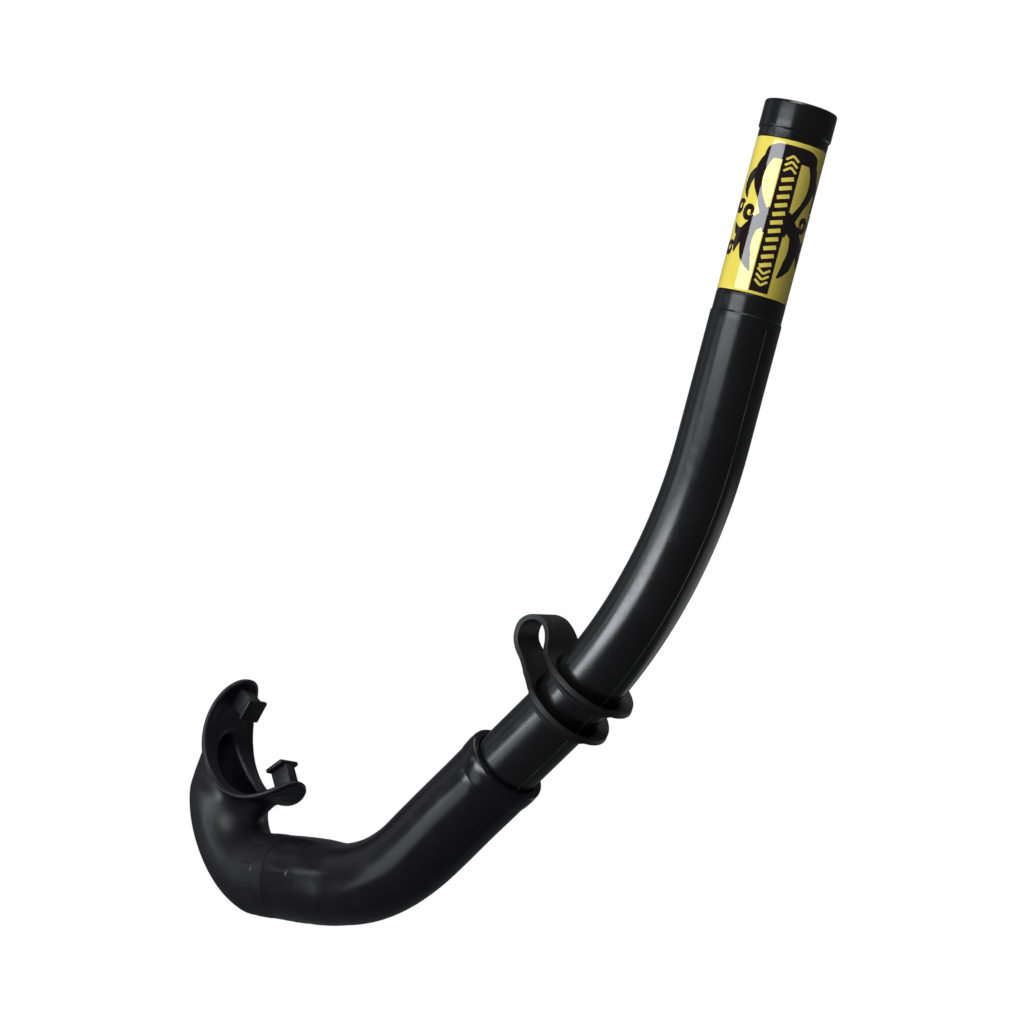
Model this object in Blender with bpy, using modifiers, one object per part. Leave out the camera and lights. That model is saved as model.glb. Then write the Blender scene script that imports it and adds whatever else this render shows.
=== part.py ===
"""Snorkel tube: a J-shaped breathing tube for a diving mask.

A rigid curved barrel carries a printed label and a strap keeper. A soft elbow sleeve is pushed over
the barrel's lower end, and a ring inside its other end carries the soft mouthpiece, which swivels.

Units are metres. The origin is the centre of the mouth opening. +Z runs up along the barrel's
straight top, +X runs from the mouthpiece towards the barrel, and the J lies in the XZ plane.
"""
import math

import bmesh
import bpy
from mathutils import Matrix, Vector

MM = 0.001
SIDES = 32                       # facets round every tube
MERGE = 0.01 * MM                # joins the ends of a turned shape
STRAIGHT = 1e-9                  # a turn below this, in radians, is a straight
BARREL_STOPS = 14                # sections round each bend
ELBOW_STOPS = 9
TURN_STOPS = 8

# Clearances
GAP = 0.3 * MM

# Barrel
BARREL_RADIUS = 11.0 * MM
BORE_RADIUS = 9.0 * MM
RIM_ROUNDING = 0.8 * MM
COLLAR_RADIUS = 11.15 * MM
COLLAR_LENGTH = 8.5 * MM
NECK_RADIUS = 10.7 * MM          # between the collar and the step below the label
LABEL_SEAT_RADIUS = 10.2 * MM
LABEL_TOP = 11.8 * MM            # distance down from the rim
LABEL_LENGTH = 47.0 * MM
STEP_DISTANCE = 65.0 * MM
RIM_HEIGHT = 249.4 * MM
BARREL_X = 170.6 * MM
TOP_STRAIGHT = 104.1 * MM
BEND_RADIUS = 144.0 * MM
BEND_ANGLE = math.radians(38.4)
LOWER_STRAIGHT = 72.7 * MM       # from the bend's end to the start of the elbow's bend
SOCKET_START = 27.7 * MM         # from the bend's end to the elbow's lip
SOCKET_DEPTH = 30.0 * MM

# Label
LABEL_THICKNESS = 0.3 * MM
LABEL_GAP = 0.2 * MM

# Elbow
SOFT_ROUNDING = 0.9 * MM         # of the soft parts' ends
ELBOW_LIP_RADIUS = 13.75 * MM
ELBOW_STEP = 6.5 * MM            # from the lip to the small step round the socket
ELBOW_STEP_LENGTH = 0.5 * MM
ELBOW_SOCKET_RADIUS = 13.4 * MM  # between the step and the bend
ELBOW_RADIUS = 13.2 * MM         # round the bend
ELBOW_TAIL_RADIUS = 14.0 * MM    # at the split
ELBOW_SWELL = 4.0 * MM           # length in which the bend widens to the tail
ELBOW_BEND_RADIUS = 56.0 * MM
ELBOW_BEND_ANGLE = math.radians(41.6)
ELBOW_TAIL = 20.5 * MM           # from the elbow's bend to the split
AIRWAY_RADIUS = 9.3 * MM

# Connector ring across the split
CONNECTOR_REACH = 11.0 * MM      # into each soft part
CONNECTOR_RADIUS = 10.3 * MM
CONNECTOR_BORE = 8.8 * MM
BEAD_RADIUS = 11.1 * MM
BEAD_LENGTH = 2.4 * MM

# Raised grip pads on both sides of the split
PAD_COUNT = 8
PAD_SIZE = (6.6 * MM, 2.6 * MM, 1.6 * MM)
PAD_RELIEF = 0.4 * MM
PAD_DISTANCE = 8.8 * MM          # from the split to a pad's middle
PAD_PHASE = math.radians(7.0)

# Mouthpiece
MOUTH_ANGLE = math.radians(56.0)     # of the mouth's axis above +X
MOUTH_STRAIGHT = 16.5 * MM           # from the split to the start of the U-turn
MOUTH_TURN_RADIUS = 21.0 * MM
MOUTH_TURN_ANGLE = math.radians(100.0)
MOUTH_TUBE_RADIUS = 13.8 * MM
MOUTH_TURN_FLAT = 2.6 * MM           # how much the outside of the U-turn is flattened
SLOT_HALF_LENGTH = 15.0 * MM
SLOT_HALF_WIDTH = 5.4 * MM
THROAT_HALF_LENGTH = 19.6 * MM
THROAT_HALF_WIDTH = 9.8 * MM
THROAT_RISE = 7.0 * MM               # how far the throat's sides run up behind the shield
SLOT_RISE = 10.0 * MM                # how far the cutter of the slot runs past it
SLOT_POWER = 2.5
THROAT_SHARES = (0.35, 0.65, 1.0)    # sections between the U-turn and the opening
SLOT_SHARES = (0.5, 1.0)
SHIELD_RADIUS = 21.8 * MM            # of the concave face
SHIELD_THICKNESS = 2.0 * MM
SHIELD_HALF_ANGLE = math.radians(93.0)
SHIELD_SHIFT = math.radians(2.0)     # of the shield towards its upper lobe
SHIELD_HALF_WIDTH = 12.1 * MM
SHIELD_POWER = 2.35
SHIELD_SHARES = (0.25, 0.5, 0.7, 0.85, 0.95, 1.0)
TAB_ANGLE = math.radians(76.0)
TAB_WEB = (7.6 * MM, 4.2 * MM, 8.6 * MM)
TAB_FLANGE = (8.0 * MM, 8.0 * MM, 1.5 * MM)
TAB_BEVEL = 0.4 * MM
TAB_ROOT = 0.8 * MM                  # how far a web sinks into the shield
TAB_LAP = 0.2 * MM                   # how far a flange sinks into its web
CUTTER_LEAD = 2.0 * MM               # how far the airway's cutter starts outside the split

# Strap keeper
KEEPER_BELOW_BEND = -7.0 * MM        # keeper's middle, measured down from the bend's end
KEEPER_YAW = math.radians(11.0)
KEEPER_HALF_SPREAD = 6.2 * MM
KEEPER_THICKNESS = 1.8 * MM
KEEPER_GAP = 0.4 * MM
KEEPER_RIM_RADIUS = 15.8 * MM
KEEPER_DISH = 2.0 * MM
LOOP_CENTRE = 23.5 * MM              # from the barrel's axis
LOOP_RADIUS = 5.6 * MM
LOOP_HALF_WIDTH = 6.4 * MM           # at the top of the loop
WAIST_HALF_WIDTH = 9.6 * MM
FOOT_HALF_WIDTH = 11.5 * MM
FOOT_LAP = 1.6 * MM                  # of the strip's ends on the rings, out from the barrel
WAIST_DISTANCE = 15.6 * MM
WAIST_HALF_GAP = 2.4 * MM
LOOP_STEPS = 16
LOOP_FLARE = 0.8                     # share of the waist's extra width that the loop keeps


def clear_scene():
    for thing in list(bpy.data.objects):
        bpy.data.objects.remove(thing, do_unlink=True)


def new_collection(name):
    collection = bpy.data.collections.new(name)
    bpy.context.scene.collection.children.link(collection)
    return collection


def material(name, colour, roughness, metallic=0.0):
    made = bpy.data.materials.new(name)
    made.use_nodes = True
    shader = made.node_tree.nodes["Principled BSDF"]
    shader.inputs["Base Color"].default_value = (*colour, 1.0)
    shader.inputs["Roughness"].default_value = roughness
    shader.inputs["Metallic"].default_value = metallic
    return made


class Path:
    """A line of straights and arcs in the XZ plane. Angles are measured from +X towards +Z."""

    def __init__(self, start, heading, pieces):
        self.start = Vector(start)
        self.heading = heading
        self.pieces = pieces

    @property
    def length(self):
        return sum(piece_length for piece_length, turn in self.pieces)

    def at(self, distance):
        point = self.start.copy()
        heading = self.heading
        left = distance
        last = len(self.pieces) - 1
        for index, (piece_length, turn) in enumerate(self.pieces):
            run = left if index == last else min(left, piece_length)
            angle = turn * run / piece_length
            chord = run if abs(angle) < STRAIGHT else run * math.sin(angle / 2) / (angle / 2)
            middle = heading + angle / 2
            point += chord * Vector((math.cos(middle), 0.0, math.sin(middle)))
            heading += angle
            left -= run
            if left <= 0.0:
                break
        return point, heading


def frame_at(path, distance):
    """Matrix with local X along the path, local Y across the J and local Z to the path's left."""
    point, heading = path.at(distance)
    return Matrix.Translation(point) @ Matrix.Rotation(-heading, 4, "Y")


def ring(path, distance, half_in_plane, half_across=None, power=2.0):
    """A closed superellipse of SIDES points, square to the path."""
    across = half_in_plane if half_across is None else half_across
    return oval(frame_at(path, distance), half_in_plane, across, power)


def oval(place, half_in_plane, across, power):
    points = []
    for index in range(SIDES):
        turn = 2 * math.pi * index / SIDES
        high = math.copysign(abs(math.cos(turn)) ** (2 / power), math.cos(turn))
        wide = math.copysign(abs(math.sin(turn)) ** (2 / power), math.sin(turn))
        points.append(place @ Vector((0.0, across * wide, half_in_plane * high)))
    return points


def mesh_object(name, builder_mesh, collection, surface=None):
    bmesh.ops.recalc_face_normals(builder_mesh, faces=builder_mesh.faces)
    mesh = bpy.data.meshes.new(name)
    builder_mesh.to_mesh(mesh)
    builder_mesh.free()
    made = bpy.data.objects.new(name, mesh)
    collection.objects.link(made)
    if surface is not None:
        mesh.materials.append(surface)
    return made


def loft(name, rings, collection, surface=None, ring_shaped=False):
    """Skin a list of rings. A ring-shaped loft joins its last ring to its first, for a tube wall."""
    skin = bmesh.new()
    loops = [[skin.verts.new(point) for point in points] for points in rings]
    pairs = list(zip(loops, loops[1:]))
    if ring_shaped:
        pairs.append((loops[-1], loops[0]))
    for one, other in pairs:
        for index in range(len(one)):
            following = (index + 1) % len(one)
            skin.faces.new((one[index], one[following], other[following], other[index]))
    if not ring_shaped:
        skin.faces.new(loops[0])
        skin.faces.new(loops[-1])
    return mesh_object(name, skin, collection, surface)


def bend_stops(first, last, count):
    return [first + (last - first) * index / count for index in range(1, count)]


def tube(name, path, profile, collection, surface):
    """A tube wall from a closed profile of (distance, radius) points."""
    rings = [ring(path, distance, radius) for distance, radius in profile]
    return loft(name, rings, collection, surface, ring_shaped=True)


def turned(name, profile, place, collection, surface=None):
    """A shape turned about local Z from a closed outline of (radius, height) points at local +X."""
    outline = bmesh.new()
    points = [outline.verts.new((radius, 0.0, height)) for radius, height in profile]
    for one, other in zip(points, points[1:] + points[:1]):
        outline.edges.new((one, other))
    mesh = bpy.data.meshes.new(name)
    outline.to_mesh(mesh)
    outline.free()
    made = bpy.data.objects.new(name, mesh)
    made.matrix_world = place
    collection.objects.link(made)
    if surface is not None:
        mesh.materials.append(surface)
    screw = made.modifiers.new("Screw", "SCREW")
    screw.axis = "Z"
    screw.steps = SIDES
    screw.render_steps = SIDES
    screw.use_merge_vertices = True
    screw.merge_threshold = MERGE
    screw.use_smooth_shade = False
    return made


def stand(path, distance):
    """Matrix with local Z back up the path, so that heights are measured against its run."""
    point, heading = path.at(distance)
    return Matrix.Translation(point) @ Matrix.Rotation(-(heading + math.pi / 2), 4, "Y")


def move_origin(thing, point):
    """Put the object's origin on its joint's axis and leave its surface where it is."""
    thing.data.transform(Matrix.Translation(-point))
    thing.location = point


def cut(target, tool, operation="DIFFERENCE"):
    modifier = target.modifiers.new(operation.title(), "BOOLEAN")
    modifier.operation = operation
    modifier.solver = "EXACT"
    modifier.object = tool
    tool.hide_render = True
    tool.display_type = "WIRE"


def block(name, size, matrix, collection, bevel=0.0):
    made = bmesh.new()
    bmesh.ops.create_cube(made, size=1.0, matrix=matrix @ Matrix.Diagonal((*size, 1.0)))
    if bevel:
        bmesh.ops.bevel(made, geom=made.edges, offset=bevel, segments=1, affect="EDGES")
    return mesh_object(name, made, collection)


def barrel_path():
    lower = LOWER_STRAIGHT + 2 * SOCKET_DEPTH
    pieces = [(TOP_STRAIGHT, 0.0), (BEND_RADIUS * BEND_ANGLE, -BEND_ANGLE), (lower, 0.0)]
    return Path((BARREL_X, 0.0, RIM_HEIGHT), -math.pi / 2, pieces)


def elbow_path():
    start, heading = barrel_path().at(BEND_END + SOCKET_START)
    pieces = [
        (LOWER_STRAIGHT - SOCKET_START, 0.0),
        (ELBOW_BEND_RADIUS * ELBOW_BEND_ANGLE, -ELBOW_BEND_ANGLE),
        (ELBOW_TAIL, 0.0),
    ]
    return Path(start, heading, pieces)


def mouth_path():
    """From the split to the end of the U-turn, where it points straight up."""
    start, heading = elbow_path().at(elbow_path().length)
    turn_length = MOUTH_TURN_RADIUS * MOUTH_TURN_ANGLE
    return Path(start, heading, [(MOUTH_STRAIGHT, 0.0), (turn_length, -MOUTH_TURN_ANGLE)])


BEND_END = TOP_STRAIGHT + BEND_RADIUS * BEND_ANGLE
BARREL_END = BEND_END + SOCKET_START + SOCKET_DEPTH


def make_barrel(collection):
    rounding = RIM_ROUNDING
    seat_top = LABEL_TOP - GAP
    seat_end = LABEL_TOP + LABEL_LENGTH + GAP
    bends = bend_stops(TOP_STRAIGHT, BEND_END, BARREL_STOPS)
    outer = [
        (0.0, COLLAR_RADIUS - rounding),
        (0.25 * rounding, COLLAR_RADIUS - 0.25 * rounding),
        (rounding, COLLAR_RADIUS),
        (COLLAR_LENGTH, COLLAR_RADIUS),
        (COLLAR_LENGTH + GAP, NECK_RADIUS),
        (seat_top, NECK_RADIUS),
        (seat_top, LABEL_SEAT_RADIUS),
        (seat_end, LABEL_SEAT_RADIUS),
        (seat_end, NECK_RADIUS),
        (STEP_DISTANCE, NECK_RADIUS),
        (STEP_DISTANCE + rounding, BARREL_RADIUS),
        (TOP_STRAIGHT, BARREL_RADIUS),
    ]
    outer += [(stop, BARREL_RADIUS) for stop in bends]
    outer += [(BEND_END, BARREL_RADIUS), (BARREL_END, BARREL_RADIUS)]
    inner = [(BARREL_END, BORE_RADIUS), (BEND_END, BORE_RADIUS)]
    inner += [(stop, BORE_RADIUS) for stop in reversed(bends)]
    inner += [(TOP_STRAIGHT, BORE_RADIUS), (0.0, BORE_RADIUS)]
    surface = material("barrel", (0.010, 0.010, 0.011), 0.22)
    return tube("barrel", barrel_path(), outer + inner, collection, surface)


def make_label(collection):
    inner = LABEL_SEAT_RADIUS + LABEL_GAP
    outer = inner + LABEL_THICKNESS
    profile = [(outer, 0.0), (outer, -LABEL_LENGTH), (inner, -LABEL_LENGTH), (inner, 0.0)]
    surface = material("label", (0.62, 0.53, 0.10), 0.35)
    return turned("label", profile, stand(barrel_path(), LABEL_TOP), collection, surface)


def make_elbow(collection, tools):
    path = elbow_path()
    rounding = SOFT_ROUNDING
    end = path.length - GAP / 2
    bend_start = LOWER_STRAIGHT - SOCKET_START
    bend_end = path.length - ELBOW_TAIL
    bends = bend_stops(bend_start, bend_end, ELBOW_STOPS)
    lip_radius = ELBOW_LIP_RADIUS
    outer = [
        (0.0, lip_radius - rounding),
        (0.3 * rounding, lip_radius - 0.3 * rounding),
        (rounding, lip_radius),
        (ELBOW_STEP, lip_radius),
        (ELBOW_STEP + ELBOW_STEP_LENGTH, ELBOW_SOCKET_RADIUS),
        (bend_start, ELBOW_SOCKET_RADIUS),
    ]
    outer += [(stop, ELBOW_RADIUS) for stop in bends]
    outer += [
        (bend_end + ELBOW_SWELL, ELBOW_TAIL_RADIUS),
        (end - rounding, ELBOW_TAIL_RADIUS),
        (end, ELBOW_TAIL_RADIUS - 0.5 * rounding),
    ]
    inner = split_socket(end, -1.0)
    inner += [(stop, AIRWAY_RADIUS) for stop in reversed([bend_start] + bends + [bend_end])]
    inner += [
        (SOCKET_DEPTH + GAP, AIRWAY_RADIUS),
        (SOCKET_DEPTH + GAP, BARREL_RADIUS + GAP),
        (0.0, BARREL_RADIUS + GAP),
    ]
    surface = material("elbow", (0.014, 0.013, 0.016), 0.42)
    made = tube("elbow", path, outer + inner, collection, surface)
    add_pads(made, path, path.length - PAD_DISTANCE, ELBOW_TAIL_RADIUS, tools)
    move_origin(made, path.at(0.0)[0])
    return made


def split_socket(face, side):
    """Bore profile that holds half of the connector ring, from its face inwards."""
    reach = CONNECTOR_REACH + GAP
    groove = BEAD_LENGTH + 2 * GAP
    return [
        (face, CONNECTOR_RADIUS + GAP),
        (face + side * (reach - groove - GAP / 2), CONNECTOR_RADIUS + GAP),
        (face + side * (reach - groove - GAP / 2), BEAD_RADIUS + GAP),
        (face + side * (reach - GAP / 2), BEAD_RADIUS + GAP),
        (face + side * (reach - GAP / 2), AIRWAY_RADIUS),
    ]


def add_pads(target, path, distance, radius, tools):
    place = frame_at(path, distance)
    pads = bmesh.new()
    for index in range(PAD_COUNT):
        turn = Matrix.Rotation(PAD_PHASE + 2 * math.pi * index / PAD_COUNT, 4, "X")
        lift = Matrix.Translation((0.0, 0.0, radius + PAD_RELIEF - PAD_SIZE[2] / 2))
        size = Matrix.Diagonal((*PAD_SIZE, 1.0))
        bmesh.ops.create_cube(pads, size=1.0, matrix=place @ turn @ lift @ size)
    cut(target, mesh_object(target.name + "_pads", pads, tools), "UNION")


def make_connector(collection):
    top = CONNECTOR_REACH
    bead = BEAD_LENGTH
    profile = [
        (BEAD_RADIUS, top),
        (BEAD_RADIUS, top - bead),
        (CONNECTOR_RADIUS, top - bead),
        (CONNECTOR_RADIUS, bead - top),
        (BEAD_RADIUS, bead - top),
        (BEAD_RADIUS, -top),
        (CONNECTOR_BORE, -top),
        (CONNECTOR_BORE, top),
    ]
    surface = material("connector", (0.05, 0.05, 0.055), 0.4)
    return turned("connector", profile, stand(elbow_path(), elbow_path().length), collection, surface)


def shield_point(angle, across, radius):
    """A point of the shield at an angle from the mouth's axis, seen from the shield's centre line."""
    centre = SHIELD_RADIUS * Vector((math.cos(MOUTH_ANGLE), 0.0, math.sin(MOUTH_ANGLE)))
    turned = MOUTH_ANGLE + math.pi - angle
    return centre + Vector((radius * math.cos(turned), across, radius * math.sin(turned)))


def make_shield(tools):
    """A curved plate with a superellipse outline."""
    skin = bmesh.new()
    sheets = []
    for radius in (SHIELD_RADIUS, SHIELD_RADIUS + SHIELD_THICKNESS):
        sheet = []
        for step in SHIELD_SHARES:
            loop = []
            for index in range(2 * SIDES):
                turn = math.pi * index / SIDES
                along = math.copysign(abs(math.cos(turn)) ** (2 / SHIELD_POWER), math.cos(turn))
                wide = math.copysign(abs(math.sin(turn)) ** (2 / SHIELD_POWER), math.sin(turn))
                angle = SHIELD_SHIFT + along * step * SHIELD_HALF_ANGLE
                across = wide * step * SHIELD_HALF_WIDTH
                loop.append(skin.verts.new(shield_point(angle, across, radius)))
            sheet.append(loop)
        middle = skin.verts.new(shield_point(SHIELD_SHIFT, 0.0, radius))
        first = sheet[0]
        for index in range(len(first)):
            skin.faces.new((middle, first[index], first[(index + 1) % len(first)]))
        sheets.append(sheet)
    front, back = sheets
    for one, other in list(zip(front, front[1:])) + list(zip(back, back[1:])) + [(front[-1], back[-1])]:
        for index in range(len(one)):
            following = (index + 1) % len(one)
            skin.faces.new((one[index], one[following], other[following], other[index]))
    return mesh_object("shield_plate", skin, tools)


def make_mouth_hollow(tools):
    """A cylinder that trims the throat to the middle of the shield's thickness."""
    hollow = bmesh.new()
    centre = shield_point(0.0, 0.0, 0.0)
    lying = Matrix.Translation(centre) @ Matrix.Rotation(math.pi / 2, 4, "X")
    radius = SHIELD_RADIUS + SHIELD_THICKNESS / 2
    bmesh.ops.create_cone(
        hollow,
        cap_ends=True,
        segments=4 * SIDES,
        radius1=radius,
        radius2=radius,
        depth=4 * radius,
        matrix=lying,
    )
    return mesh_object("mouth_hollow", hollow, tools)


def make_tabs(tools):
    """Two T-shaped bite tabs that stand on the shield's concave face."""
    tabs = []
    for side in (-1.0, 1.0):
        angle = side * TAB_ANGLE
        heading = MOUTH_ANGLE + math.pi - angle
        turn = Matrix.Rotation(-heading - math.pi / 2, 4, "Y")
        web_end = SHIELD_RADIUS + TAB_ROOT - TAB_WEB[2]
        web_middle = web_end + TAB_WEB[2] / 2
        flange_middle = web_end + TAB_LAP - TAB_FLANGE[2] / 2
        web = Matrix.Translation(shield_point(angle, 0.0, web_middle)) @ turn
        flange = Matrix.Translation(shield_point(angle, 0.0, flange_middle)) @ turn
        name = "upper" if side > 0 else "lower"
        tabs.append(block(name + "_web", TAB_WEB, web, tools))
        tabs.append(block(name + "_flange", TAB_FLANGE, flange, tools, bevel=TAB_BEVEL))
    return tabs


def throat_place(share):
    """Matrix of a section between the U-turn's end and the mouth opening."""
    start, heading = mouth_path().at(mouth_path().length)
    turned = (heading % (2 * math.pi)) * (1 - share) + MOUTH_ANGLE * share
    return Matrix.Translation(start * (1 - share)) @ Matrix.Rotation(-turned, 4, "Y")


def make_mouthpiece(collection, tools):
    path = mouth_path()
    face = GAP / 2
    rounding = SOFT_ROUNDING
    turns = bend_stops(MOUTH_STRAIGHT, path.length, TURN_STOPS) + [path.length]
    body = [
        ring(path, face, ELBOW_TAIL_RADIUS - 0.5 * rounding),
        ring(path, face + rounding, ELBOW_TAIL_RADIUS),
        ring(path, MOUTH_STRAIGHT, MOUTH_TUBE_RADIUS),
    ]
    airway = [ring(path, distance, radius) for distance, radius in mouth_socket(face)]
    turn_middle = (MOUTH_STRAIGHT + path.length) / 2
    for stop in turns:
        flat = MOUTH_TURN_FLAT * math.cos(math.pi * (stop - turn_middle) / (path.length - MOUTH_STRAIGHT))
        place = frame_at(path, stop) @ Matrix.Translation((0.0, 0.0, -flat))
        body.append(oval(place, MOUTH_TUBE_RADIUS - flat, MOUTH_TUBE_RADIUS, 2.0))
        airway.append(oval(place, AIRWAY_RADIUS - flat, AIRWAY_RADIUS, 2.0))
    for share in THROAT_SHARES:
        long_side = MOUTH_TUBE_RADIUS + (THROAT_HALF_LENGTH - MOUTH_TUBE_RADIUS) * share
        short_side = MOUTH_TUBE_RADIUS + (THROAT_HALF_WIDTH - MOUTH_TUBE_RADIUS) * share
        body.append(oval(throat_place(share), long_side, short_side, 2.0))
    for share in SLOT_SHARES:
        long_side = AIRWAY_RADIUS + (SLOT_HALF_LENGTH - AIRWAY_RADIUS) * share
        short_side = AIRWAY_RADIUS + (SLOT_HALF_WIDTH - AIRWAY_RADIUS) * share
        power = 2.0 + (SLOT_POWER - 2.0) * share
        airway.append(oval(throat_place(share), long_side, short_side, power))
    beyond = Path((0.0, 0.0, 0.0), MOUTH_ANGLE, [(SLOT_RISE, 0.0)])
    body.append(ring(beyond, THROAT_RISE, THROAT_HALF_LENGTH, THROAT_HALF_WIDTH))
    airway.append(ring(beyond, SLOT_RISE, SLOT_HALF_LENGTH, SLOT_HALF_WIDTH, SLOT_POWER))
    surface = material("mouthpiece", (0.014, 0.013, 0.016), 0.45)
    made = loft("mouthpiece", body, collection, surface)
    cut(made, make_mouth_hollow(tools))
    cut(made, make_shield(tools), "UNION")
    for tab in make_tabs(tools):
        cut(made, tab, "UNION")
    add_pads(made, path, PAD_DISTANCE, ELBOW_TAIL_RADIUS, tools)
    cut(made, loft("mouth_airway", airway, tools))
    move_origin(made, path.at(0.0)[0])
    return made


def mouth_socket(face):
    profile = split_socket(face, 1.0)
    return [(face - CUTTER_LEAD, CONNECTOR_RADIUS + GAP)] + profile


def make_keeper(collection, tools):
    """Two rings on the barrel joined by a folded loop for the mask strap."""
    lean = stand(barrel_path(), BEND_END + KEEPER_BELOW_BEND)
    place = lean @ Matrix.Rotation(math.pi + KEEPER_YAW, 4, "Z")
    hole = BARREL_RADIUS + KEEPER_GAP
    surface = material("keeper", (0.020, 0.019, 0.019), 0.6)
    rings = []
    for side in (-1.0, 1.0):
        low = side * KEEPER_HALF_SPREAD - KEEPER_DISH / 2
        profile = [
            (hole, low + KEEPER_THICKNESS / 2),
            (KEEPER_RIM_RADIUS, low + KEEPER_DISH + KEEPER_THICKNESS / 2),
            (KEEPER_RIM_RADIUS, low + KEEPER_DISH - KEEPER_THICKNESS / 2),
            (hole, low - KEEPER_THICKNESS / 2),
        ]
        if side < 0:
            rings.append(turned("keeper", profile, place, collection, surface))
        else:
            rings.append(turned("keeper_upper_ring", profile, place, tools))
    lower, upper = rings
    band = make_band(tools)
    band.matrix_world = place
    cut(lower, upper, "UNION")
    cut(lower, band, "UNION")
    return lower


def band_line():
    """The folded band from the lower ring to the upper: (radial, axial, half width) in its own frame."""
    edge = WAIST_HALF_GAP + KEEPER_THICKNESS / 2
    reach = math.asin(min(1.0, edge / LOOP_RADIUS))
    foot = (BARREL_RADIUS + FOOT_LAP, KEEPER_HALF_SPREAD, FOOT_HALF_WIDTH)
    waist = (WAIST_DISTANCE, edge, WAIST_HALF_WIDTH)
    flare = LOOP_FLARE * (WAIST_HALF_WIDTH - LOOP_HALF_WIDTH)
    loop = []
    for index in range(LOOP_STEPS + 1):
        turn = math.pi + reach + (2 * math.pi - 2 * reach) * index / LOOP_STEPS
        near = abs(2 * index / LOOP_STEPS - 1)
        half_width = LOOP_HALF_WIDTH + flare * near * near
        loop.append((LOOP_CENTRE + LOOP_RADIUS * math.cos(turn), LOOP_RADIUS * math.sin(turn), half_width))
    below = [(radial, -axial, half_width) for radial, axial, half_width in (foot, waist)]
    return below + loop + [waist, foot]


def make_band(tools):
    line = [(Vector((radial, 0.0, axial)), half_width) for radial, axial, half_width in band_line()]
    skin = bmesh.new()
    loops = []
    for index, (point, half_width) in enumerate(line):
        before = line[max(index - 1, 0)][0]
        after = line[min(index + 1, len(line) - 1)][0]
        along = (after - before).normalized()
        out = Vector((along.z, 0.0, -along.x)) * KEEPER_THICKNESS / 2
        side = Vector((0.0, half_width, 0.0))
        corners = (point - out - side, point + out - side, point + out + side, point - out + side)
        loops.append([skin.verts.new(corner) for corner in corners])
    for one, other in zip(loops, loops[1:]):
        for index in range(4):
            following = (index + 1) % 4
            skin.faces.new((one[index], one[following], other[following], other[index]))
    skin.faces.new(loops[0])
    skin.faces.new(loops[-1])
    return mesh_object("keeper_band", skin, tools)


def main():
    clear_scene()
    snorkel = new_collection("snorkel_tube")
    tools = new_collection("cutters")
    make_barrel(snorkel)
    make_label(snorkel)
    make_elbow(snorkel, tools)
    make_connector(snorkel)
    make_mouthpiece(snorkel, tools)
    make_keeper(snorkel, tools)


main()
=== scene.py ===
"""Looks of the snorkel tube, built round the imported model.

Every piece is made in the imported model's own frame: metres, origin at the centre of the mouth opening,
+Z up along the barrel's straight top, +X from the mouthpiece towards the barrel, the J in the XZ plane.
"""
import math
from contextlib import contextmanager

import bmesh
import bpy
import numpy as np
from mathutils import Matrix, Vector, noise


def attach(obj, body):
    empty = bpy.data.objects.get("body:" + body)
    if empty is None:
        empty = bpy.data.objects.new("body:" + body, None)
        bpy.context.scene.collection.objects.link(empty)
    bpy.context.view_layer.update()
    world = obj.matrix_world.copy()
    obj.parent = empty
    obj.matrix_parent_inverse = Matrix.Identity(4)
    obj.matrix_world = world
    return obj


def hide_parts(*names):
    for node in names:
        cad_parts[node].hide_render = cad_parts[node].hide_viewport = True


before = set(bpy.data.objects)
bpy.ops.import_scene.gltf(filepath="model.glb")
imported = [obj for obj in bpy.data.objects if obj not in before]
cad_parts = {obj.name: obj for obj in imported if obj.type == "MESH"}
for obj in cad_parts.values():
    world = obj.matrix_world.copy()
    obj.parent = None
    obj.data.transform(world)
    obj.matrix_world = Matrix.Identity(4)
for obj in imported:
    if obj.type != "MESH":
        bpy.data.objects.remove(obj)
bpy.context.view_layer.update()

MM = 0.001
TAU = 2 * math.pi
TINY = 1e-9  # below this, a turn or an edge counts as nothing

# The barrel, as the CAD has it
BARREL_RADIUS = 11.0 * MM
BORE_RADIUS = 9.0 * MM
COLLAR_RADIUS = 11.15 * MM
COLLAR_LENGTH = 8.5 * MM
NECK_RADIUS = 10.7 * MM
LABEL_SEAT_RADIUS = 10.2 * MM
LABEL_TOP = 11.8 * MM
LABEL_LENGTH = 47.0 * MM
LABEL_INNER = 10.4 * MM
LABEL_OUTER = 10.7 * MM
STEP_DISTANCE = 65.0 * MM
RIM_HEIGHT = 249.4 * MM
BARREL_X = 170.6 * MM
TOP_STRAIGHT = 104.1 * MM
BEND_RADIUS = 144.0 * MM
BEND_ANGLE = math.radians(38.4)
LOWER_STRAIGHT = 72.7 * MM
SOCKET_START = 27.7 * MM
SOCKET_DEPTH = 30.0 * MM
BEND_END = TOP_STRAIGHT + BEND_RADIUS * BEND_ANGLE
BARREL_END = BEND_END + SOCKET_START + SOCKET_DEPTH
GAP = 0.3 * MM
RIM_ROUNDING = 0.8 * MM  # of the collar's top
FINE_ROUNDING = 0.30 * MM  # of the barrel's other corners
FILM_ROUNDING = 0.06 * MM  # of the label film's edges
BARREL_RUN = 2.5 * MM  # longest runs of the swept outlines
ELBOW_RUN = 2.0 * MM
FILM_RUN = 0.6 * MM
PAD_RUN = 0.28 * MM
BARREL_SIDES = 128
ELBOW_SIDES = 168
BARREL_LUMPS = (30 * MM, 0.03 * MM)  # size and depth of a moulded surface's unevenness
ELBOW_LUMPS = (16 * MM, 0.14 * MM)
SEAM_HALF = 0.21 * MM
BARREL_SEAM = 0.07 * MM  # heights of the parting lines
ELBOW_SEAM = 0.06 * MM
BARREL_LEAN = math.radians(-10.0)  # of the barrel's parting plane
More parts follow.
